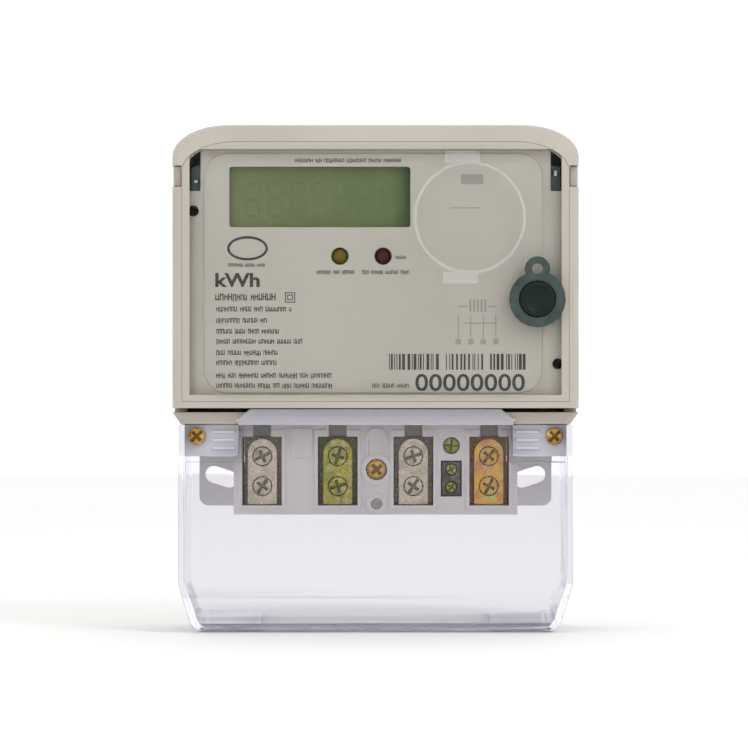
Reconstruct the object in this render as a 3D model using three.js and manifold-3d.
// Single-phase electricity meter for a wall: a case, a main cover with a clear window in an opaque frame, and
// a clear cover over its terminals. Millimetres. +X is to the right, +Y goes into the wall and +Z is up. The
// flat back of the case lies in y = 0. A "depth" is a distance from the wall, so a point at depth d has
// y = -d. Heights are measured from the seam, the underside of the case's ledge, and the whole group is moved
// so that z = 0 is the middle of its height.
import * as THREE from "three";
import { mergeVertices } from "three/addons/utils/BufferGeometryUtils.js";
import Module from "manifold-3d";

const wasm = await Module();
wasm.setup();

// ---- Driving sizes ----

const GAP = 0.3; // between pieces that move or are cut by each other
const SLACK = 0.5; // round a piece that drops into a pocket

// Case
const WIDTH = 130;
const CASE_HEIGHT = 95.6;
const CASE_DEPTH = 55;
const CASE_WALL = 2.2;
const CORNER_RX = 18;
const CORNER_RZ = 10;
const RIM_DEPTH = 34;
const BACK = 3;
const LEDGE_HEIGHT = 3.7;
const LEDGE_SET_BACK = 5.5;
const LEDGE_CHAMFER = 2.6;
const PRY_SLOT = { inner: 40.5, in: 4, back: 12 }; // two slots under the cover where it is levered off
const GASKET = 1;

// Main cover
const COVER_BOTTOM = 5.1;
const COVER_WALL = 2;
const EDGE_ROUND = 4.5;
const EDGE_SIDE = 3.2;
const EDGE_TOP = 5.5;
const PLATEAU_IN = { left: 9.6, right: 11.2, top: 8.6 }; // in from the case's sides and top
const PLATEAU = { low: 9.3, step: 1, radius: 8 };
const LATCH = { drop: 13.1, tall: 6.8, thick: 2.4, inset: 0.4 };
const NOTCH_WALL = 2.1; // cover wall behind each side notch
const NOTCH_END = 1.6; // how far that wall runs past the notch's ends
const ARM_ROOT_END = NOTCH_END + 1; // and how far the snap arm's root does
const WELD_GAP = 0.1; // round the window in its frame

// Reading-head port
const PORT = { fromDisplay: 18.9, z: 65.8, outer: 18, inner: 17, rise: 1.2 };
const PORT_TAB = { half: 5.6, tall: 1.9, out: 1.2, corner: 0.8 };
const PORT_TABS = [
  { side: 1, shift: -2.4 },
  { side: -1, shift: -3 },
]; // above and below the ring, a little to the left of its middle

// Push button
const BUTTON = { in: 13.5, z: 39.8, cap: 5.6, flange: 6.1, bore: 6.4, travel: 1.5 };
const BEZEL = { ring: 9, lobe: 4, lobeRise: 9.6 };

// Panel, board and display
const PANEL = 1.5;
const NAMEPLATE = 0.4;
const NAMEPLATE_TO_COVER = 1.1;
const BOARD = 1.6;
const BOARD_TO_PANEL = 6.4;
const CORNER_WINDOW = { width: 3.7, drop: 21.2 }; // the drop is from the case's top
const LCD = { x: -17.8, z: 72.5, width: 57.8, height: 19.3, glass: 2.6, sunk: 2.7 };
const LAMP = { z: 53.6, yellow: -11.4, red: 2.4, radius: 2.5, hole: 2.8 };
const POST = { in: 6.8, radius: 3, pin: 1.3, upper: 68, lower: 19.2 }; // in from the case's sides
const PANEL_SCREW = { head: 1.7, thick: 1, shank: 1, slot: 0.5, tip: 26, sleeve: 2.4 };
const SKIRT = { wall: 1.4, tall: 3 };

// Terminal block, clamps and screws
const PITCH = 24.4;
const POCKET = { width: 12.8, high: -4.2, low: -26.4, notch: 5.8, rail: 1.1 };
const BLOCK = { top: -0.4, bottom: -29.3, back: BACK, front: 40, border: 2.7 };
const CLAMP = { back: 12, front: 34.5, shoulder: 27.5, bore: 4.1, face: 9.4, boreDepth: 22 };
const TERMINAL_SCREW = { radius: 3, clearance: 0.3, upper: -10.6, lower: -20.3 };
const STRAP = { width: 8, thick: 2 };
const CENTRE_SCREW = { x: 0.3, z: -14.8, head: 3.2, thick: 3, shank: 1.8, ring: 1.8, sunk: 1.5 };
const ARCH = { foot: -10, spring: -4.8, outer: 3.5, inner: 2.6 }; // over the centre screw
const RAISED_TAB = { right: 0.5, half: 3.5, low: -10.9, high: -1.6, corner: 0.6 };
const AUX = { screwZ: -7.1, screw: 2.5, width: 6.8, high: -11.9, low: -23.5, depth: 8 };
const AUX_WIRE = { apart: 3.2, radius: 1.1 };
const AUX_SCREW = { head: 1.6, shank: 1.3, slot: 0.5, seat: 1.9 };

// Fixing lugs
const LUG = { width: 12.5, top: -11, bottom: -27.5, corner: 3 };
const LUG_SLOT = { out: 5.2, z: -18, width: 5.6, length: 11 };
const LUG_TILT = THREE.MathUtils.degToRad(18);

// Terminal cover
const TC = { in: 2, bottom: -66.8, straight: -51.1, wall: 2, bend: 8, sideIn: 3, corner: 5, back: 1 };
const TONGUE = { half: 40, foot: 45, top: 4.8, footZ: 0.9 };
const EAR = { width: 17, bottom: -10.2, sunk: 7.8, screwIn: 3.6, screwZ: -4, hole: 1.7, boss: 3.1 };
const EAR_RIBS = { zs: [-2.6, -5.2, -7.8], in: 1, length: 7.5, half: 0.4, rise: 1.4 };
const SEALING_SCREW = { head: 2.75, thick: 2.3, shank: 1.25, tip: 28, pilot: 1.6 };
const PILOT_BACK = 24; // where the screw holes in the case's bosses and posts end
const CABLE_OPENING = { half: 37, depth: 38 };

// Hanging hook in the back
const HOOK = { half: 11.2, lip: 8, thick: 1.5, tall: 36.6, eyeDrop: 7, eye: 3, cover: 1.2 };
const HOOK_BOX = { side: 2, front: 1.6, foot: 4 }; // walls round the hook's pocket, inside the case

// ---- Values worked out from the driving sizes ----

const HALF = WIDTH / 2;
const TC_HALF = HALF - TC.in;
const TC_INSIDE = TC_HALF - TC.wall;
const EAR_INNER = TC_INSIDE - EAR.width;
const EAR_SCREW_X = TC_INSIDE - EAR.screwIn;
const LATCH_HIGH = CASE_HEIGHT - LATCH.drop;
const LATCH_LOW = LATCH_HIGH - LATCH.tall;
const NOTCH_INNER = HALF - LATCH.inset - LATCH.thick - GAP;
const SIDE_INNER = NOTCH_INNER - NOTCH_WALL;
const COVER_INNER = CASE_DEPTH - COVER_WALL;
const NAMEPLATE_FRONT = COVER_INNER - NAMEPLATE_TO_COVER;
const PANEL_FRONT = NAMEPLATE_FRONT - NAMEPLATE;
const PANEL_BACK = PANEL_FRONT - PANEL;
const BOARD_FRONT = PANEL_BACK - BOARD_TO_PANEL;
const BOARD_BACK = BOARD_FRONT - BOARD;
const LEDGE_FRONT = CASE_DEPTH - LEDGE_SET_BACK;
const COVER_BACK = RIM_DEPTH + GASKET;
const CASE_FLOOR = COVER_BOTTOM + COVER_WALL;
const TC_INNER = LEDGE_FRONT + GAP;
const TC_FRONT = TC_INNER + TC.wall;
const EAR_FLOOR = TC_FRONT - EAR.sunk;
const EAR_BACK = EAR_FLOOR - TC.wall;
const PLATEAU_FRONT = CASE_DEPTH + PLATEAU.step;
const TERMINAL_XS = [-1.5, -0.5, 0.5, 1.5].map((n) => n * PITCH);
const BLOCK_HALF = 1.5 * PITCH + POCKET.width / 2 + BLOCK.border;
const LUG_HALF = BLOCK_HALF + LUG.width;
const LUG_SLOT_X = BLOCK_HALF + LUG_SLOT.out;
const AUX_X = (TERMINAL_XS[2] + TERMINAL_XS[3]) / 2;
const BUTTON_X = HALF - BUTTON.in;
const PORT_X = LCD.x + LCD.width / 2 + PORT.fromDisplay;
const WINDOW_LOW = CASE_HEIGHT - CORNER_WINDOW.drop;
const PANEL_HALF = SIDE_INNER - 0.2;
const POST_X = HALF - POST.in;
const PANEL_SCREWS = [
  { name: "panel_screw_left", x: -POST_X, z: POST.upper },
  { name: "panel_screw_right", x: POST_X, z: POST.lower },
];
const BOARD_PINS = [
  { x: -POST_X + 1, z: POST.lower },
  { x: POST_X - 1, z: POST.upper },
];
const HOOK_TOP = CASE_HEIGHT - 1;
const HOOK_LOW = HOOK_TOP - HOOK.tall;
const CASE_BOTTOM_TO_MIDDLE = (CASE_HEIGHT + TC.bottom) / 2;

// ---- Materials ----

const finish = (settings) => new THREE.MeshStandardMaterial(settings);
const plastic = (color, roughness = 0.5) => finish({ color, roughness, metalness: 0 });
const metal = (color, roughness = 0.35) => finish({ color, roughness, metalness: 1 });
const clear = (color) => finish({ color, roughness: 0.08, metalness: 0, transparent: true, opacity: 0.3 });

// ---- Outlines and solids ----

/** A flat outline in the XZ plane made solid between two depths. */
function slab(outline, back, front) {
  const made = new THREE.ExtrudeGeometry(outline, { depth: front - back, bevelEnabled: false });
  return made.rotateX(Math.PI / 2).translate(0, -back, 0);
}

/** A box given by its two ends along X, along the depth and along Z. */
function block(left, right, back, front, low, high) {
  const made = new THREE.BoxGeometry(right - left, front - back, high - low);
  return made.translate((left + right) / 2, -(back + front) / 2, (low + high) / 2);
}

/** A round rod along the depth. */
function rod(x, z, radius, back, front, sides = 12) {
  const made = new THREE.CylinderGeometry(radius, radius, front - back, sides);
  return made.translate(x, -(back + front) / 2, z);
}

/** A round rod along Z. */
function upright(x, depth, radius, low, high, sides = 16) {
  const made = new THREE.CylinderGeometry(radius, radius, high - low, sides);
  return made.rotateX(Math.PI / 2).translate(x, -depth, (low + high) / 2);
}

/** A profile of [radius, depth] points turned about an axis along the depth. */
function turned(profile, x, z, sides = 12) {
  const points = profile.map(([radius, depth]) => new THREE.Vector2(radius, depth));
  return new THREE.LatheGeometry(points, sides).rotateX(Math.PI).translate(x, 0, z);
}

function polygon(points) {
  return new THREE.Shape(points.map(([x, z]) => new THREE.Vector2(x, z)));
}

/** An outline whose arcs are turned into straight steps: an arc gets twice as many as the number given. */
function stepped(outline, steps) {
  return new THREE.Shape(outline.getPoints(steps));
}

function rectangle(left, right, low, high, radius = 0, steps = 1) {
  const s = new THREE.Shape();
  if (radius === 0) {
    return polygon([
      [left, low],
      [right, low],
      [right, high],
      [left, high],
    ]);
  }
  s.absarc(right - radius, low + radius, radius, -Math.PI / 2, 0);
  s.absarc(right - radius, high - radius, radius, 0, Math.PI / 2);
  s.absarc(left + radius, high - radius, radius, Math.PI / 2, Math.PI);
  s.absarc(left + radius, low + radius, radius, Math.PI, 1.5 * Math.PI);
  s.closePath();
  return stepped(s, steps);
}

/** A slot with round ends, its long axis turned by an angle from X. */
function stadium(x, z, length, width, angle) {
  const s = new THREE.Shape();
  const reach = (length - width) / 2;
  const dx = reach * Math.cos(angle);
  const dz = reach * Math.sin(angle);
  s.absarc(x + dx, z + dz, width / 2, angle - Math.PI / 2, angle + Math.PI / 2);
  s.absarc(x - dx, z - dz, width / 2, angle + Math.PI / 2, angle + 1.5 * Math.PI);
  s.closePath();
  return stepped(s, 4);
}

/** A circle and a smaller one that laps over its top, as one outline: the button's ring and its lobe. */
function keyhole(x, z, ring, lobe, rise) {
  const s = new THREE.Shape();
  const ringAngle = Math.acos((rise * rise + ring * ring - lobe * lobe) / (2 * rise * ring));
  const lobeAngle = Math.acos((rise * rise + lobe * lobe - ring * ring) / (2 * rise * lobe));
  s.absarc(x, z, ring, Math.PI / 2 + ringAngle, 2.5 * Math.PI - ringAngle);
  s.absarc(x, z + rise, lobe, lobeAngle - Math.PI / 2, 1.5 * Math.PI - lobeAngle);
  s.closePath();
  return stepped(s, 9);
}

function circle(x, z, radius, sides = 16) {
  return stepped(new THREE.Shape().absarc(x, z, radius, 0, 2 * Math.PI), sides / 2);
}

/** The ends along X of a stretch from a to b on one side of the middle, the lower end first. */
function across(side, a, b) {
  return side > 0 ? [a, b] : [-b, -a];
}

function withHoles(outline, ...holes) {
  outline.holes.push(...holes);
  return outline;
}

/** The case from the front, drawn in by an inset, with elliptical upper corners and a chamfered foot. */
function caseOutline(inset, bottom, chamfer = 0) {
  const half = HALF - inset;
  const top = CASE_HEIGHT - inset;
  const rx = CORNER_RX - inset;
  const rz = CORNER_RZ - inset * (CORNER_RZ / CORNER_RX);
  const s = new THREE.Shape();
  s.moveTo(-half + chamfer, bottom);
  s.lineTo(half - chamfer, bottom);
  if (chamfer > 0) s.lineTo(half, bottom + LEDGE_HEIGHT);
  s.lineTo(half, top - rz);
  s.absellipse(half - rx, top - rz, rx, rz, 0, Math.PI / 2, false, 0);
  s.lineTo(-half + rx, top);
  s.absellipse(-half + rx, top - rz, rx, rz, Math.PI / 2, Math.PI, false, 0);
  if (chamfer > 0) s.lineTo(-half, bottom + LEDGE_HEIGHT);
  s.closePath();
  return stepped(s, 4);
}

/** Turns a three.js geometry into a solid that can be joined and cut. */
function solid(geometry) {
  if (!geometry.isBufferGeometry) return geometry;
  const bare = geometry.clone();
  bare.deleteAttribute("normal");
  bare.deleteAttribute("uv");
  const merged = mergeVertices(bare, 1e-4);
  const vertProperties = merged.attributes.position.array;
  const triVerts = new Uint32Array(merged.index.array);
  return new wasm.Manifold(new wasm.Mesh({ numProp: 3, vertProperties, triVerts }));
}

const join = (first, ...rest) => rest.reduce((whole, piece) => whole.add(solid(piece)), solid(first));
const cut = (first, ...rest) => rest.reduce((whole, piece) => whole.subtract(solid(piece)), solid(first));
const common = (a, b) => solid(a).intersect(solid(b));

const meter = new THREE.Group();
meter.position.z = -CASE_BOTTOM_TO_MIDDLE;

/** Adds a geometry or a solid to the meter as a named mesh. */
function add(name, shape, material) {
  let geometry = shape;
  if (!shape.isBufferGeometry) {
    const made = shape.getMesh();
    geometry = new THREE.BufferGeometry();
    geometry.setAttribute("position", new THREE.BufferAttribute(made.vertProperties, 3));
    geometry.setIndex(new THREE.BufferAttribute(made.triVerts, 1));
    geometry.computeVertexNormals();
  }
  const mesh = new THREE.Mesh(geometry, material);
  mesh.name = name;
  meter.add(mesh);
  return mesh;
}

// ---- Base housing ----

/** The lower back plate: as wide as the cover's inside at the ears, then the lugs, then the block. */
function footOutline() {
  const wide = TC_INSIDE - SLACK;
  const s = new THREE.Shape();
  s.moveTo(wide, 1);
  s.lineTo(-wide, 1);
  s.lineTo(-wide, LUG.top);
  s.lineTo(-LUG_HALF, LUG.top);
  s.absarc(-LUG_HALF + LUG.corner, LUG.bottom + LUG.corner, LUG.corner, Math.PI, 1.5 * Math.PI);
  s.lineTo(-BLOCK_HALF, LUG.bottom);
  s.lineTo(-BLOCK_HALF, BLOCK.bottom);
  s.lineTo(BLOCK_HALF, BLOCK.bottom);
  s.lineTo(BLOCK_HALF, LUG.bottom);
  s.absarc(LUG_HALF - LUG.corner, LUG.bottom + LUG.corner, LUG.corner, -Math.PI / 2, 0);
  s.lineTo(LUG_HALF, LUG.top);
  s.lineTo(wide, LUG.top);
  s.closePath();
  const slots = [-1, 1].map((side) =>
    stadium(side * LUG_SLOT_X, LUG_SLOT.z, LUG_SLOT.length, LUG_SLOT.width, side * LUG_TILT),
  );
  return withHoles(stepped(s, 2), ...slots);
}

const hookPocketHalf = HOOK.half + GAP;
const hookPocketDepth = HOOK.cover + HOOK.thick + GAP;

function baseHousing() {
  const tub = cut(
    slab(caseOutline(0, 0, LEDGE_CHAMFER), 0, RIM_DEPTH),
    slab(caseOutline(CASE_WALL, CASE_FLOOR), BACK, RIM_DEPTH + 1),
    ...[-1, 1].map((side) => {
      const ends = across(side, PRY_SLOT.inner, HALF - PRY_SLOT.in);
      return block(...ends, PRY_SLOT.back, RIM_DEPTH + 1, LEDGE_HEIGHT, COVER_BOTTOM);
    }),
  );
  const ledge = slab(
    polygon([
      [-HALF + LEDGE_CHAMFER, 0],
      [HALF - LEDGE_CHAMFER, 0],
      [HALF, LEDGE_HEIGHT],
      [-HALF, LEDGE_HEIGHT],
    ]),
    RIM_DEPTH - 1,
    LEDGE_FRONT,
  );
  const raisedLedge = slab(
    rectangle(-PRY_SLOT.inner, PRY_SLOT.inner, LEDGE_HEIGHT - 1, COVER_BOTTOM - GAP),
    RIM_DEPTH - 1,
    LEDGE_FRONT,
  );
  const extras = [ledge, raisedLedge, slab(footOutline(), 0, BACK)];
  for (const side of [-1, 1]) {
    const x = side * EAR_SCREW_X;
    extras.push(rod(x, EAR.screwZ, EAR.boss, 0, EAR_BACK - GAP));
    extras.push(block(x - EAR.boss, x + EAR.boss, 0, EAR_BACK - GAP, EAR.screwZ, 1));
    // Snap arm that stands in the cover's side notch, on a thickened stretch of the wall
    const armBox = across(side, HALF - LATCH.inset - LATCH.thick, HALF - LATCH.inset);
    extras.push(block(...armBox, RIM_DEPTH - 4, CASE_DEPTH - 3, LATCH_LOW + GAP, LATCH_HIGH - GAP));
    const armRoot = across(side, SIDE_INNER, HALF - 1);
    extras.push(block(...armRoot, BACK - 1, RIM_DEPTH, LATCH_LOW - ARM_ROOT_END, LATCH_HIGH + ARM_ROOT_END));
  }
  for (const { x, z } of PANEL_SCREWS) extras.push(rod(x, z, POST.radius, BACK - 1, BOARD_BACK));
  for (const { x, z } of BOARD_PINS) {
    extras.push(rod(x, z, POST.radius, BACK - 1, BOARD_BACK));
    extras.push(rod(x, z, POST.pin, BOARD_BACK - 1, BOARD_FRONT + 1.5, 8));
  }
  const boxHalf = hookPocketHalf + HOOK_BOX.side;
  const boxFront = hookPocketDepth + HOOK_BOX.front;
  extras.push(block(-boxHalf, boxHalf, BACK - 1, boxFront, HOOK_LOW - HOOK_BOX.foot, CASE_HEIGHT - 1));
  const cuts = [
    block(-hookPocketHalf, hookPocketHalf, HOOK.cover, hookPocketDepth, HOOK_LOW - GAP, CASE_HEIGHT + 1),
    block(-HOOK.lip, HOOK.lip, -1, HOOK.cover + 0.1, HOOK_LOW - GAP, CASE_HEIGHT + 1),
    rod(CENTRE_SCREW.x, CENTRE_SCREW.z, CENTRE_SCREW.shank + GAP, 0.6, BACK + 1),
  ];
  for (const side of [-1, 1]) {
    cuts.push(rod(side * EAR_SCREW_X, EAR.screwZ, SEALING_SCREW.pilot, PILOT_BACK, EAR_BACK + 1, 8));
  }
  for (const { x, z } of PANEL_SCREWS) {
    cuts.push(rod(x, z, PANEL_SCREW.shank + 0.4, PILOT_BACK, BOARD_BACK + 1, 8));
  }
  for (const x of TERMINAL_XS) {
    const half = STRAP.width / 2 + SLACK;
    const back = CLAMP.back - STRAP.thick - SLACK;
    cuts.push(block(x - half, x + half, back, CLAMP.back + SLACK, -1, CASE_FLOOR + 1));
  }
  return cut(join(tub, ...extras), ...cuts);
}

add("base_housing", baseHousing(), plastic(0xcfc8bb));

add(
  "hanging_hook",
  slab(
    withHoles(
      rectangle(-HOOK.half, HOOK.half, HOOK_LOW, HOOK_TOP, 2),
      circle(0, HOOK_TOP - HOOK.eyeDrop, HOOK.eye),
    ),
    HOOK.cover + GAP / 2,
    HOOK.cover + GAP / 2 + HOOK.thick,
  ),
  metal(0xb9bcc0),
);

/** The seal between the case's rim and the cover, with a step inwards behind each snap arm. */
function coverGasket() {
  const ring = slab(
    withHoles(caseOutline(0.4, COVER_BOTTOM + 0.4), caseOutline(1.8, COVER_BOTTOM + 1.8)),
    RIM_DEPTH,
    COVER_BACK,
  );
  const width = 1.2;
  const low = LATCH_LOW - 0.4 - width;
  const high = LATCH_HIGH + 0.4 + width;
  const inner = SIDE_INNER + 0.4;
  const outer = HALF - 0.6;
  const steps = [];
  const gaps = [];
  for (const side of [-1, 1]) {
    steps.push(block(...across(side, inner, outer), RIM_DEPTH, COVER_BACK, low, low + width));
    steps.push(block(...across(side, inner, outer), RIM_DEPTH, COVER_BACK, high - width, high));
    steps.push(block(...across(side, inner, inner + width), RIM_DEPTH, COVER_BACK, low, high));
    const gapEnds = across(side, inner + width, HALF);
    gaps.push(block(...gapEnds, RIM_DEPTH - 1, COVER_BACK + 1, low + width, high - width));
  }
  return cut(join(ring, ...steps), ...gaps);
}

add("cover_gasket", coverGasket(), plastic(0x3a3a3c, 0.9));

// ---- Inside: straps, relay and sensors ----

const STRAP_BACK = CLAMP.back - STRAP.thick;
const STRAP_FOOT = POCKET.low + SLACK;
const RELAY = { low: 34, high: 62, back: BACK + 2, front: 21 };
const SHUNT = { low: 12, high: RELAY.low };
const copper = metal(0xb87345);

function strap(x, low, high) {
  return block(x - STRAP.width / 2, x + STRAP.width / 2, STRAP_BACK, CLAMP.back, low, high);
}

add("line_in_strap", strap(TERMINAL_XS[0], STRAP_FOOT, RELAY.low), copper);
add("line_out_strap", strap(TERMINAL_XS[1], STRAP_FOOT, SHUNT.low), copper);

/** Copper ends with a narrower resistance-alloy bridge, and two pins for the sense wires. */
function shuntSensor() {
  const x = TERMINAL_XS[1];
  const waist = STRAP.width / 2 - 1.5;
  const middle = (SHUNT.low + SHUNT.high) / 2;
  const body = join(
    strap(x, SHUNT.low, SHUNT.low + 8),
    strap(x, SHUNT.high - 8, SHUNT.high),
    block(x - waist, x + waist, STRAP_BACK, CLAMP.back, SHUNT.low + 7, SHUNT.high - 7),
  );
  const pins = [-5, 5].map((rise) => rod(x, middle + rise, 0.6, CLAMP.back - 0.5, CLAMP.back + 4, 8));
  return join(body, ...pins);
}

add("shunt_sensor", shuntSensor(), metal(0x9c8468));

const LINK_LOW = 18;

/** Two legs and a bar: the neutral comes in at one terminal and leaves at the next. */
function neutralLink() {
  const [left, right] = [TERMINAL_XS[2], TERMINAL_XS[3]];
  const half = STRAP.width / 2;
  return join(
    strap(left, STRAP_FOOT, LINK_LOW + 1),
    strap(right, STRAP_FOOT, LINK_LOW + 1),
    slab(rectangle(left - half, right + half, LINK_LOW, LINK_LOW + STRAP.width, 3), STRAP_BACK, CLAMP.back),
  );
}

add("neutral_link", neutralLink(), copper);

const RING_CORE = { outer: 7.6, inner: 4.8, low: CASE_FLOOR + 1, high: CASE_FLOOR + 9 };
const ringDepth = (STRAP_BACK + CLAMP.back) / 2;
add(
  "current_transformer",
  cut(
    upright(TERMINAL_XS[3], ringDepth, RING_CORE.outer, RING_CORE.low, RING_CORE.high),
    upright(TERMINAL_XS[3], ringDepth, RING_CORE.inner, RING_CORE.low - 1, RING_CORE.high + 1),
  ),
  plastic(0x24406e),
);

/** The relay's box, and the foot under it that stands on the case's back. */
function latchingRelay() {
  const [left, right] = [TERMINAL_XS[0], TERMINAL_XS[1]];
  return join(
    slab(rectangle(left - 7, right + 7, RELAY.low, RELAY.high, 1.5), RELAY.back, RELAY.front),
    block(left - 2, right + 2, BACK, RELAY.back + 1, RELAY.low + 3, RELAY.low + 17),
  );
}

add("latching_relay", latchingRelay(), plastic(0x1f2226, 0.4));

// ---- Circuit board and what stands on it ----

const BOARD_HALF = SIDE_INNER - 0.3;
const BOARD_LOW = CASE_FLOOR + 1.5;
const BOARD_HIGH = WINDOW_LOW + 8.6;

function mainBoard() {
  return cut(
    slab(rectangle(-BOARD_HALF, BOARD_HALF, BOARD_LOW, BOARD_HIGH, 2), BOARD_BACK, BOARD_FRONT),
    ...PANEL_SCREWS.map(({ x, z }) => rod(x, z, PANEL_SCREW.shank + 0.5, BOARD_BACK - 1, BOARD_FRONT + 1, 8)),
    ...BOARD_PINS.map(({ x, z }) => rod(x, z, POST.pin + GAP, BOARD_BACK - 1, BOARD_FRONT + 1, 8)),
  );
}

add("main_board", mainBoard(), plastic(0x1f4f46, 0.45));

// Display
const GLASS_FRONT = NAMEPLATE_FRONT - LCD.sunk;
const GLASS_BACK = GLASS_FRONT - LCD.glass;

function lcdRect(growX, growZ, radius = 0) {
  const halfX = LCD.width / 2 + growX;
  const halfZ = LCD.height / 2 + growZ;
  return rectangle(LCD.x - halfX, LCD.x + halfX, LCD.z - halfZ, LCD.z + halfZ, radius);
}

function lcdFrame() {
  const lipBack = GLASS_FRONT + 0.1;
  const outer = lcdRect(3, 3, 1);
  const walls = slab(withHoles(outer, lcdRect(1.4, 1.4)), BOARD_FRONT, lipBack);
  const lip = slab(withHoles(lcdRect(3, 3, 1), lcdRect(0.2, 0.2)), lipBack - 0.1, PANEL_BACK - GAP);
  return cut(join(walls, lip), slab(lcdRect(1.4, 1.4), BOARD_FRONT - 1, lipBack));
}

add("lcd_frame", lcdFrame(), plastic(0xe9e9e6));
add("lcd_backlight", slab(lcdRect(1.2, 1.2), BOARD_FRONT, GLASS_BACK), plastic(0xf0f1ea, 0.3));
add("lcd_glass", slab(lcdRect(1.2, 1.2), GLASS_BACK, GLASS_FRONT), plastic(0x7d8a66, 0.15));

/** A round lamp: flanged foot, straight barrel and domed tip. */
function lamp(x, z, radius, back, tip) {
  const profile = [
    [0, back],
    [radius + 0.35, back],
    [radius + 0.35, back + 1],
    [radius, back + 1],
  ];
  const steps = 3;
  for (let i = 0; i <= steps; i += 1) {
    const angle = (i / steps) * (Math.PI / 2);
    const reach = i === steps ? 0 : radius * Math.cos(angle);
    profile.push([reach, tip - radius + radius * Math.sin(angle)]);
  }
  return turned(profile, x, z);
}

const LAMP_TIP = NAMEPLATE_FRONT + 0.5;
add("led_yellow", lamp(LAMP.yellow, LAMP.z, LAMP.radius, BOARD_FRONT, LAMP_TIP), plastic(0xb7a02a, 0.25));
add("led_red", lamp(LAMP.red, LAMP.z, LAMP.radius, BOARD_FRONT, LAMP_TIP), plastic(0x8e1f24, 0.25));

// Reading-head port: two infrared parts in the middle of a steel ring that holds the head's magnet
const INFRARED = { spacing: 6.5, radius: 1.5 };
const infraredTip = PANEL_BACK - GAP;
add(
  "infrared_led",
  lamp(PORT_X - INFRARED.spacing / 2, PORT.z, INFRARED.radius, BOARD_FRONT, infraredTip),
  plastic(0x4a4a6a, 0.2),
);
add(
  "infrared_receiver",
  lamp(PORT_X + INFRARED.spacing / 2, PORT.z, INFRARED.radius, BOARD_FRONT, infraredTip),
  plastic(0x1c1c20, 0.2),
);
add(
  "magnet_plate",
  slab(withHoles(circle(PORT_X, PORT.z, 14.5, 24), circle(PORT_X, PORT.z, 7)), PANEL_BACK - 1.2, PANEL_BACK),
  metal(0x9fa3a8),
);

const BUTTON_STEM = 1.5;
const STEM_TIP = NAMEPLATE_FRONT + BUTTON.travel + GAP;
const SWITCH_TOP = STEM_TIP - BUTTON.travel - GAP;
add(
  "tact_switch",
  join(
    block(BUTTON_X - 3, BUTTON_X + 3, BOARD_FRONT, BOARD_FRONT + 3.4, BUTTON.z - 3, BUTTON.z + 3),
    rod(BUTTON_X, BUTTON.z, 1.7, BOARD_FRONT + 3, SWITCH_TOP),
  ),
  plastic(0x2a2a2c),
);

// Power supply and battery on the back of the board
const TRANSFORMER = { x: 38, z: 62, half: 14, tall: 23, thick: 11, leg: 4, window: 5 };
const TRANSFORMER_FRONT = BOARD_BACK - 6;

function transformerCore() {
  const { x, z, half, tall, thick, leg, window } = TRANSFORMER;
  const front = TRANSFORMER_FRONT;
  const inside = tall / 2 - leg;
  const windows = [x - leg - window, x + leg].map((left) =>
    block(left, left + window, front - thick - 1, front + 1, z - inside, z + inside),
  );
  return cut(block(x - half, x + half, front - thick, front, z - tall / 2, z + tall / 2), ...windows);
}

function transformerCoil() {
  const { x, z, tall, thick, leg, window } = TRANSFORMER;
  const front = TRANSFORMER_FRONT;
  const reach = leg + window - GAP;
  const inside = tall / 2 - leg - GAP;
  const wall = window - 2 * GAP;
  const ring = block(x - reach, x + reach, front - thick - wall, BOARD_BACK, z - inside, z + inside);
  const hole = leg + GAP;
  const end = inside + 1;
  return cut(ring, block(x - hole, x + hole, front - thick - GAP, front + GAP, z - end, z + end));
}

add("transformer_core", transformerCore(), metal(0x6e7074, 0.6));
add("transformer_coil", transformerCoil(), plastic(0xc49a3a, 0.6));
const CAPACITOR = { left: -4, right: 22, low: 30, high: 42, thick: 17 };
add(
  "supply_capacitor",
  slab(
    rectangle(CAPACITOR.left, CAPACITOR.right, CAPACITOR.low, CAPACITOR.high, 1),
    BOARD_BACK - CAPACITOR.thick,
    BOARD_BACK,
  ),
  plastic(0xd8b21e, 0.5),
);
add("varistor", upright(30, BOARD_BACK - 8, 7, 32, 36), plastic(0x2c5aa0, 0.4));

const BATTERY = { left: -34, right: -9, radius: 7.2, z: 74 };
add(
  "backup_battery",
  new THREE.CylinderGeometry(BATTERY.radius, BATTERY.radius, BATTERY.right - BATTERY.left, 16)
    .rotateZ(Math.PI / 2)
    .translate((BATTERY.left + BATTERY.right) / 2, -(BOARD_BACK - BATTERY.radius - 0.6), BATTERY.z),
  plastic(0x3f8a4a, 0.35),
);

// ---- Panel and nameplate ----

const PANEL_HIGH = CASE_HEIGHT - EDGE_TOP - 0.6;
const PANEL_LOW = CASE_FLOOR + 0.9;
const SWITCH_HOLE = 4.5;
const SENSOR_HOLE = 6;

function panelOutline(inset) {
  const inner = PANEL_HALF - CORNER_WINDOW.width - inset;
  const low = WINDOW_LOW - inset;
  return polygon([
    [-PANEL_HALF + inset, PANEL_LOW + inset],
    [PANEL_HALF - inset, PANEL_LOW + inset],
    [PANEL_HALF - inset, low],
    [inner, low],
    [inner, PANEL_HIGH - inset],
    [-inner, PANEL_HIGH - inset],
    [-inner, low],
    [-PANEL_HALF + inset, low],
  ]);
}

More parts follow.
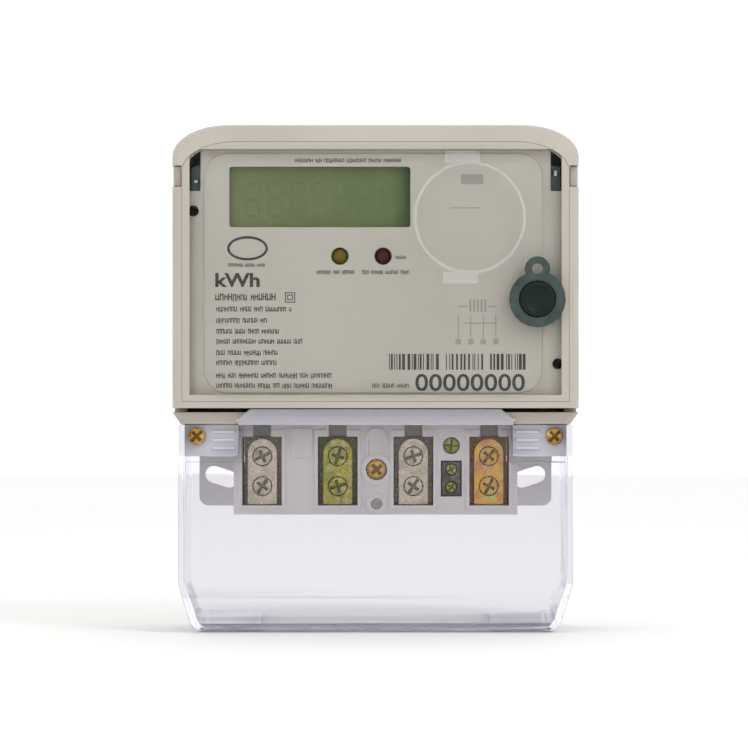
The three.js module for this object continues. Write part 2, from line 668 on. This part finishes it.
function facePanel() {
  const plate = slab(
    withHoles(
      panelOutline(0),
      lcdRect(0, 0, 0.8),
      circle(LAMP.yellow, LAMP.z, LAMP.hole),
      circle(LAMP.red, LAMP.z, LAMP.hole),
      circle(PORT_X, PORT.z, SENSOR_HOLE),
    ),
    PANEL_BACK,
    PANEL_FRONT,
  );
  const rim = withHoles(panelOutline(0), panelOutline(SKIRT.wall));
  const skirt = slab(rim, PANEL_BACK - SKIRT.tall, PANEL_BACK + 0.5);
  const { sleeve, shank } = PANEL_SCREW;
  const sleeves = PANEL_SCREWS.map(({ x, z }) => rod(x, z, sleeve, BOARD_FRONT, PANEL_BACK + 0.5));
  const holes = PANEL_SCREWS.map(({ x, z }) => rod(x, z, shank + GAP, BOARD_FRONT - 1, PANEL_FRONT + 1, 8));
  holes.push(rod(BUTTON_X, BUTTON.z, SWITCH_HOLE, PANEL_BACK - 1, PANEL_FRONT + 1));
  return cut(join(plate, skirt, ...sleeves), ...holes);
}

add("face_panel", facePanel(), plastic(0xb4b0a4, 0.6));

/** The raised part of the cover, drawn in by an inset. */
function plateauOutline(inset) {
  return rectangle(
    -HALF + PLATEAU_IN.left + inset,
    HALF - PLATEAU_IN.right - inset,
    PLATEAU.low + inset,
    CASE_HEIGHT - PLATEAU_IN.top - inset,
    PLATEAU.radius - inset,
    3,
  );
}

const NAMEPLATE_INSET = 0.6;
add(
  "nameplate",
  cut(
    slab(
      withHoles(
        plateauOutline(NAMEPLATE_INSET),
        lcdRect(0, 0, 0.8),
        circle(LAMP.yellow, LAMP.z, LAMP.hole),
        circle(LAMP.red, LAMP.z, LAMP.hole),
      ),
      PANEL_FRONT,
      NAMEPLATE_FRONT,
    ),
    rod(BUTTON_X, BUTTON.z, 8.2, PANEL_FRONT - 1, NAMEPLATE_FRONT + 1, 24),
  ),
  plastic(0xaeaba1, 0.55),
);

/** A cross-slotted screw along the depth: domed head in front, shank behind. */
function crossScrew(x, z, { head, headBack, headFront, shank, tip, slot = 0.8 }) {
  const body = turned(
    [
      [0, tip],
      [shank, tip + shank],
      [shank, headBack],
      [head, headBack],
      [head, headFront - head * 0.25],
      [head * 0.75, headFront],
      [0, headFront],
    ],
    x,
    z,
  );
  const reach = head * 0.68;
  const sunk = headFront - Math.min(1, (headFront - headBack) * 0.6);
  return cut(
    body,
    block(x - reach, x + reach, sunk, headFront + 1, z - slot / 2, z + slot / 2),
    block(x - slot / 2, x + slot / 2, sunk, headFront + 1, z - reach, z + reach),
  );
}

for (const { name, x, z } of PANEL_SCREWS) {
  const heights = { headBack: PANEL_FRONT, headFront: PANEL_FRONT + PANEL_SCREW.thick };
  add(name, crossScrew(x, z, { ...PANEL_SCREW, ...heights }), metal(0x1c1c1e, 0.5));
}

// ---- Main cover ----

/** The outer shape of the cover drawn in by a wall: its front edge is rounded as a quarter ellipse. */
function coverBody(wall, back) {
  const front = CASE_DEPTH - wall;
  const straight = CASE_DEPTH - EDGE_ROUND - wall;
  const arcSteps = 3;
  const bottom = COVER_BOTTOM + wall;
  const made = new THREE.ExtrudeGeometry(caseOutline(wall, bottom), {
    depth: arcSteps + 1,
    steps: arcSteps + 1,
    bevelEnabled: false,
  });
  const position = made.attributes.position;
  const top = CASE_HEIGHT - wall;
  for (let i = 0; i < position.count; i += 1) {
    const step = Math.round(position.getZ(i));
    const angle = (Math.max(step - 1, 0) / arcSteps) * (Math.PI / 2);
    const depth = step === 0 ? back : straight + (front - straight) * Math.sin(angle);
    const drawIn = 1 - Math.cos(angle);
    const x = position.getX(i) * (1 - (drawIn * EDGE_SIDE) / HALF);
    const rise = (position.getY(i) - bottom) * (1 - (drawIn * EDGE_TOP) / (top - bottom));
    position.setXYZ(i, x, -depth, bottom + rise);
  }
  return made;
}

/** The flat front of the cover inside its rounded edges, drawn in by an inset: the opening of the frame. */
function frontOutline(inset) {
  const low = COVER_BOTTOM + COVER_WALL;
  const wide = (HALF - EDGE_SIDE - inset) / HALF;
  const tall = (CASE_HEIGHT - EDGE_TOP - low - 2 * inset) / (CASE_HEIGHT - low);
  const points = caseOutline(0, low).getPoints();
  return new THREE.Shape(points.map((p) => new THREE.Vector2(p.x * wide, low + inset + (p.y - low) * tall)));
}

/** The opaque frame: walls and rounded edges, with a notch for each snap arm and a wall behind the notch. */
function coverFrame() {
  const shell = cut(coverBody(0, COVER_BACK), coverBody(COVER_WALL, COVER_BACK - 1));
  const walls = [];
  const cuts = [];
  for (const side of [-1, 1]) {
    const behind = across(side, SIDE_INNER, HALF - 1);
    const notch = across(side, NOTCH_INNER, HALF + 1);
    const front = COVER_INNER - GAP;
    walls.push(block(...behind, COVER_BACK, front, LATCH_LOW - NOTCH_END, LATCH_HIGH + NOTCH_END));
    cuts.push(block(...notch, COVER_BACK - 1, CASE_DEPTH + 1, LATCH_LOW, LATCH_HIGH));
  }
  const opened = cut(shell, slab(frontOutline(0), COVER_INNER - GAP, CASE_DEPTH + 1));
  return cut(join(opened, ...walls), ...cuts);
}

/** The clear window, welded into the frame: a plate with a plateau, the port's ring and the button's seat. */
function coverWindow() {
  const seat = keyhole(BUTTON_X, BUTTON.z, BEZEL.ring + GAP, BEZEL.lobe + GAP, BEZEL.lobeRise);
  const extras = [
    slab(plateauOutline(0), CASE_DEPTH - 0.5, PLATEAU_FRONT),
    slab(seat, CASE_DEPTH - 0.5, PLATEAU_FRONT),
    slab(
      withHoles(circle(PORT_X, PORT.z, PORT.outer, 32), circle(PORT_X, PORT.z, PORT.inner, 32)),
      PLATEAU_FRONT - 0.5,
      PLATEAU_FRONT + PORT.rise,
    ),
  ];
  for (const { side, shift } of PORT_TABS) {
    const { half, tall, out, corner } = PORT_TAB;
    const x = PORT_X + shift;
    const z = PORT.z + side * (PORT.outer + out);
    const outline = rectangle(x - half, x + half, z - tall, z + tall, corner);
    extras.push(slab(outline, PLATEAU_FRONT - 0.5, PLATEAU_FRONT + PORT.rise - 0.1));
  }
  const pin = BEZEL.lobe - 2.2;
  return cut(
    join(slab(frontOutline(WELD_GAP), COVER_INNER, CASE_DEPTH), ...extras),
    rod(BUTTON_X, BUTTON.z, BEZEL.ring - 1.1, COVER_INNER - 1, PLATEAU_FRONT + 1, 20),
    rod(BUTTON_X, BUTTON.z + BEZEL.lobeRise, pin, COVER_INNER - 1, PLATEAU_FRONT + 1, 10),
  );
}

add("main_cover", coverFrame(), plastic(0xcfc8bb));
add("cover_window", coverWindow(), clear(0xdfe3e6));

// ---- Push button ----

const BEZEL_FRONT = PLATEAU_FRONT + 2.2;
const BEZEL_LIP = BEZEL_FRONT - 0.8;
const BEZEL_FLOOR = COVER_INNER - 0.8;
const FLANGE_FRONT = BEZEL_LIP - GAP;
const CAP_FRONT = BEZEL_FRONT + 0.8;

function buttonBezel() {
  const { z, bore, cap } = BUTTON;
  const { ring, lobe, lobeRise } = BEZEL;
  const flange = slab(keyhole(BUTTON_X, z, ring, lobe, lobeRise), PLATEAU_FRONT, BEZEL_FRONT);
  const collar = rod(BUTTON_X, z, ring - 1.4, BEZEL_FLOOR, PLATEAU_FRONT + 0.5, 20);
  return cut(
    join(flange, collar),
    rod(BUTTON_X, z, bore, BEZEL_FLOOR + 1, BEZEL_LIP, 20),
    rod(BUTTON_X, z, cap + GAP, BEZEL_LIP - 0.5, BEZEL_FRONT + 1, 20),
    rod(BUTTON_X, z, BUTTON_STEM + 0.5, BEZEL_FLOOR - 1, BEZEL_FLOOR + 2, 10),
    rod(BUTTON_X, z + lobeRise, lobe - 2.2, PLATEAU_FRONT - 1, BEZEL_FRONT + 1, 10),
  );
}

add("button_bezel", buttonBezel(), clear(0xb9c2c0));

const CAP_BACK = FLANGE_FRONT - 1.2;
const CAP_RECESS = CAP_BACK + 1.7;
add(
  "push_button",
  turned(
    [
      [0, STEM_TIP],
      [BUTTON_STEM, STEM_TIP],
      [BUTTON_STEM, CAP_RECESS],
      [4.6, CAP_RECESS],
      [4.6, CAP_BACK],
      [BUTTON.flange, CAP_BACK],
      [BUTTON.flange, FLANGE_FRONT],
      [BUTTON.cap, FLANGE_FRONT],
      [BUTTON.cap, CAP_FRONT - 0.4],
      [BUTTON.cap - 0.5, CAP_FRONT],
      [BUTTON.cap - 1.4, CAP_FRONT],
      [BUTTON.cap - 2.2, CAP_FRONT - 0.6],
      [0, CAP_FRONT - 0.9],
    ],
    BUTTON_X,
    BUTTON.z,
    20,
  ),
  plastic(0x1f3f36, 0.35),
);

/** A helix along the depth, with its end turns closed up. */
class CoilCurve extends THREE.Curve {
  constructor(radius, turns, back, front) {
    super();
    Object.assign(this, { radius, turns, back, front });
  }

  getPoint(t, target = new THREE.Vector3()) {
    const angle = 2 * Math.PI * this.turns * t;
    const rise = this.back + (this.front - this.back) * t;
    return target.set(this.radius * Math.cos(angle), -rise, this.radius * Math.sin(angle));
  }
}

const WIRE = 0.25;
const SPRING_BACK = BEZEL_FLOOR + 1 + WIRE + 0.1;
const SPRING_FRONT = CAP_RECESS - WIRE - 0.1;
add(
  "button_spring",
  new THREE.ExtrudeGeometry(circle(0, 0, WIRE, 6), {
    steps: 42,
    bevelEnabled: false,
    extrudePath: new CoilCurve(3.2, 4, SPRING_BACK, SPRING_FRONT),
  }).translate(BUTTON_X, 0, BUTTON.z),
  metal(0xb9bcc0, 0.3),
);

// ---- Terminal block ----

const blockFace = BLOCK.front;
const RAISED = 0.8;
const SEAL_EYE = { outer: 3.4, inner: 1.9 };

function terminalBlock() {
  const body = block(-BLOCK_HALF, BLOCK_HALF, BLOCK.back, blockFace, BLOCK.bottom, BLOCK.top);
  const extras = [];
  const cuts = [];
  const half = POCKET.width / 2;
  for (const x of TERMINAL_XS) {
    const { rail } = POCKET;
    const rim = rectangle(x - half - rail, x + half + rail, POCKET.low - rail, POCKET.high + rail + 1);
    extras.push(slab(rim, blockFace - 1, blockFace + RAISED));
    cuts.push(block(x - half, x + half, CLAMP.back - GAP, blockFace + 2, POCKET.low, POCKET.high));
    const notch = POCKET.notch / 2;
    cuts.push(block(x - notch, x + notch, CLAMP.shoulder, blockFace + 2, POCKET.high - 1, BLOCK.top + 1));
    const strapHalf = STRAP.width / 2 + GAP;
    const strapLow = STRAP_FOOT - GAP;
    cuts.push(block(x - strapHalf, x + strapHalf, STRAP_BACK - GAP, CLAMP.back, strapLow, BLOCK.top + 1));
    cuts.push(upright(x, CLAMP.boreDepth, CLAMP.bore + 0.4, BLOCK.bottom - 1, POCKET.low + 1));
  }
  // Raised tab between the first two terminals, and the arch over the fixing screw
  const tabX = -PITCH + RAISED_TAB.right;
  const { half: tabHalf, low, high, corner } = RAISED_TAB;
  const tab = rectangle(tabX - tabHalf, tabX + tabHalf, low, high, corner);
  extras.push(slab(tab, blockFace - 1, blockFace + RAISED));
  const { x: cx, z: cz, head, thick, sunk, shank, ring } = CENTRE_SCREW;
  const { foot, spring, outer, inner } = ARCH;
  const arch = new THREE.Shape();
  arch.moveTo(cx + outer, foot);
  arch.absarc(cx, spring, outer, 0, Math.PI);
  arch.lineTo(cx - outer, foot);
  arch.lineTo(cx - inner, foot);
  arch.absarc(cx, spring, inner, Math.PI, 0, true);
  arch.lineTo(cx + inner, foot);
  arch.closePath();
  extras.push(slab(stepped(arch, 4), blockFace - 1, blockFace + RAISED));
  extras.push(rod(cx, cz, head + ring, blockFace - 1, blockFace + RAISED, 18));
  const eyeZ = BLOCK.bottom + SEAL_EYE.outer;
  extras.push(rod(cx, eyeZ, SEAL_EYE.outer, blockFace - 1, blockFace + RAISED));
  cuts.push(rod(cx, eyeZ, SEAL_EYE.inner, blockFace - 3, blockFace + 2));
  cuts.push(rod(cx, cz, head + GAP, blockFace - sunk - thick, blockFace + 2));
  cuts.push(rod(cx, cz, shank + GAP, BLOCK.back - 1, blockFace - thick - 1));
  // Auxiliary pocket between the third and fourth terminals
  const auxHalf = AUX.width / 2;
  const auxFloor = blockFace - AUX.depth;
  cuts.push(block(AUX_X - auxHalf, AUX_X + auxHalf, auxFloor, blockFace + 2, AUX.low, AUX.high));
  cuts.push(rod(AUX_X, AUX.screwZ, AUX.screw + GAP, auxFloor, blockFace + 2));
  for (const side of [-1, 1]) {
    const wireX = AUX_X + (side * AUX_WIRE.apart) / 2;
    cuts.push(upright(wireX, auxFloor + 3, AUX_WIRE.radius, BLOCK.bottom - 1, AUX.low + 1, 8));
  }
  return cut(join(body, ...extras), ...cuts);
}

add("terminal_block", terminalBlock(), plastic(0xd9d5c8, 0.45));

/** A flat foot with a round top, like a doorway. */
function archway(x, low, high, width) {
  const s = new THREE.Shape();
  s.moveTo(x - width / 2, low);
  s.lineTo(x + width / 2, low);
  s.absarc(x, high - width / 2, width / 2, 0, Math.PI);
  s.closePath();
  return stepped(s, 6);
}

/** A solid metal cage: a wide rear bored for the cable, and a round-topped face with two screw holes. */
function terminalClamp(x) {
  const half = POCKET.width / 2 - GAP;
  const low = POCKET.low + GAP;
  const high = POCKET.high - GAP;
  const rear = block(x - half, x + half, CLAMP.back, CLAMP.shoulder, low, high);
  const face = slab(archway(x, low, high - 0.5, CLAMP.face), CLAMP.shoulder - 1, CLAMP.front);
  const hole = TERMINAL_SCREW.radius + TERMINAL_SCREW.clearance;
  return cut(
    join(rear, face),
    upright(x, CLAMP.boreDepth, CLAMP.bore, low - 1, high + 1),
    rod(x, TERMINAL_SCREW.upper, hole, CLAMP.boreDepth, CLAMP.front + 1),
    rod(x, TERMINAL_SCREW.lower, hole, CLAMP.boreDepth, CLAMP.front + 1),
  );
}

/** A headless clamping screw with a cross slot. */
function terminalScrew(x, z) {
  const { radius } = TERMINAL_SCREW;
  const tip = CLAMP.boreDepth + CLAMP.bore + 0.2;
  const front = CLAMP.front + 0.3;
  const body = turned(
    [
      [0, tip],
      [radius * 0.75, tip],
      [radius, tip + 0.8],
      [radius, front - 0.4],
      [radius - 0.4, front],
      [0, front],
    ],
    x,
    z,
  );
  return cut(
    body,
    block(x - radius - 1, x + radius + 1, front - 1.2, front + 1, z - 0.5, z + 0.5),
    block(x - 0.45, x + 0.45, front - 1.2, front + 1, z - radius * 0.65, z + radius * 0.65),
  );
}

const CLAMP_COLOURS = [0xb9b3a2, 0xa9a13c, 0xb5ad98, 0xc98a4a];
TERMINAL_XS.forEach((x, i) => {
  add(`terminal_clamp_${i + 1}`, terminalClamp(x), metal(CLAMP_COLOURS[i]));
  add(`terminal_screw_${i + 1}a`, terminalScrew(x, TERMINAL_SCREW.upper), metal(0xb0a88c));
  add(`terminal_screw_${i + 1}b`, terminalScrew(x, TERMINAL_SCREW.lower), metal(0xb0a88c));
});

/** The small clamp for the pulse output, with two screw seats. */
function auxiliaryClamp() {
  const half = AUX.width / 2 - GAP;
  const front = blockFace - 3;
  return cut(
    block(AUX_X - half, AUX_X + half, blockFace - AUX.depth, front, AUX.low + GAP, AUX.high - GAP),
    ...auxiliaryScrewZs().map((z) => rod(AUX_X, z, AUX_SCREW.seat, front - 3.2, front + 1)),
  );
}

function auxiliaryScrewZs() {
  const quarter = (AUX.high - AUX.low) / 4;
  return [AUX.high - quarter, AUX.low + quarter];
}

add("auxiliary_clamp", auxiliaryClamp(), metal(0x6f6d66, 0.4));
auxiliaryScrewZs().forEach((z, i) => {
  const front = blockFace - 2.8;
  const heights = { headBack: front - 0.6, headFront: front, tip: front - 2 };
  add(`auxiliary_screw_${i + 1}`, crossScrew(AUX_X, z, { ...AUX_SCREW, ...heights }), metal(0x8a8c5a));
});
add(
  "auxiliary_screw_3",
  crossScrew(AUX_X, AUX.screwZ, {
    head: AUX.screw,
    headBack: blockFace - 4,
    headFront: blockFace - 2,
    shank: 1.5,
    tip: blockFace - AUX.depth + 0.2,
  }),
  metal(0x9a9a70),
);
add(
  "terminal_block_screw",
  crossScrew(CENTRE_SCREW.x, CENTRE_SCREW.z, {
    head: CENTRE_SCREW.head,
    headBack: blockFace - CENTRE_SCREW.sunk - CENTRE_SCREW.thick,
    headFront: blockFace - CENTRE_SCREW.sunk,
    shank: CENTRE_SCREW.shank,
    tip: 1,
    slot: 1.1,
  }),
  metal(0xc9862e),
);

// ---- Terminal cover ----

/** The cover's side view, drawn in by a wall: flat front, then a long bend back to the foot. */
function coverSide(wall, back, top) {
  const front = TC_FRONT - wall;
  const bottom = TC.bottom + wall;
  const s = new THREE.Shape();
  s.moveTo(back, top);
  s.lineTo(front, top);
  s.lineTo(front, TC.straight);
  s.quadraticCurveTo(front, bottom + 3, front - TC.bend, bottom);
  s.lineTo(back, bottom);
  s.closePath();
  return s;
}

/** The cover's front view, drawn in by a wall: straight sides that lean in below, and round corners. */
function coverFront(wall, top) {
  const half = TC_HALF - wall;
  const bottom = TC.bottom + wall;
  const s = new THREE.Shape();
  s.moveTo(-half, top);
  s.lineTo(-half, TC.straight);
  s.lineTo(-half + TC.sideIn, bottom + TC.corner);
  s.quadraticCurveTo(-half + TC.sideIn + 0.8, bottom, -half + TC.sideIn + TC.corner, bottom);
  s.lineTo(half - TC.sideIn - TC.corner, bottom);
  s.quadraticCurveTo(half - TC.sideIn - 0.8, bottom, half - TC.sideIn, bottom + TC.corner);
  s.lineTo(half, TC.straight);
  s.lineTo(half, top);
  s.closePath();
  return stepped(s, 4);
}

function coverVolume(wall, back, top) {
  const side = new THREE.ExtrudeGeometry(coverSide(wall, back, top), {
    depth: 2 * TC_HALF,
    bevelEnabled: false,
    curveSegments: 5,
  });
  // The outline's first axis is the depth, its second is Z, and the extrusion runs against X.
  const turn = new THREE.Matrix4().set(0, 0, -1, TC_HALF, -1, 0, 0, 0, 0, 1, 0, 0, 0, 0, 0, 1);
  return common(side.applyMatrix4(turn), slab(coverFront(wall, top), back, TC_FRONT));
}

function terminalCover() {
  const shell = cut(
    coverVolume(0, TC.back, -GAP),
    coverVolume(TC.wall, TC.back - 1, 1),
    slab(
      rectangle(-CABLE_OPENING.half, CABLE_OPENING.half, TC.bottom - 1, TC.bottom + TC.wall + 1),
      TC.back - 1,
      CABLE_OPENING.depth,
    ),
  );
  const tongue = slab(
    polygon([
      [-TONGUE.foot, -2],
      [TONGUE.foot, -2],
      [TONGUE.foot, TONGUE.footZ],
      [TONGUE.half, TONGUE.top],
      [-TONGUE.half, TONGUE.top],
      [-TONGUE.foot, TONGUE.footZ],
    ]),
    TC_INNER,
    TC_FRONT,
  );
  const pockets = [];
  const walls = [];
  const holes = [];
  for (const side of [-1, 1]) {
    const low = EAR.bottom - TC.wall;
    const floorEnds = across(side, EAR_INNER - TC.wall, TC_INSIDE + 0.5);
    const ribEnds = across(side, EAR_INNER + EAR_RIBS.in, EAR_INNER + EAR_RIBS.in + EAR_RIBS.length);
    pockets.push(block(...across(side, EAR_INNER, TC_INSIDE), EAR_FLOOR, TC_FRONT + 1, EAR.bottom, 1));
    walls.push(block(...floorEnds, EAR_BACK, EAR_FLOOR, low, -GAP));
    walls.push(block(...floorEnds, EAR_BACK, TC_FRONT - 0.5, low, EAR.bottom));
    walls.push(block(...across(side, EAR_INNER - TC.wall, EAR_INNER), EAR_BACK, TC_FRONT - 0.5, low, -GAP));
    for (const z of EAR_RIBS.zs) {
      const { half, rise } = EAR_RIBS;
      walls.push(block(...ribEnds, EAR_FLOOR - 0.5, EAR_FLOOR + rise, z - half, z + half));
    }
    holes.push(rod(side * EAR_SCREW_X, EAR.screwZ, EAR.hole, EAR_BACK - 1, EAR_FLOOR + 1, 10));
  }
  return cut(join(cut(join(shell, tongue), ...pockets), ...walls), ...holes);
}

add("terminal_cover", terminalCover(), clear(0xe2e6ee));

for (const [name, side] of [
  ["sealing_screw_left", -1],
  ["sealing_screw_right", 1],
]) {
  const headBack = EAR_FLOOR + GAP;
  const heights = { headBack, headFront: headBack + SEALING_SCREW.thick };
  const screw = crossScrew(side * EAR_SCREW_X, EAR.screwZ, { ...SEALING_SCREW, ...heights });
  add(name, screw, metal(0xb08a3e, 0.3));
}

export default meter;
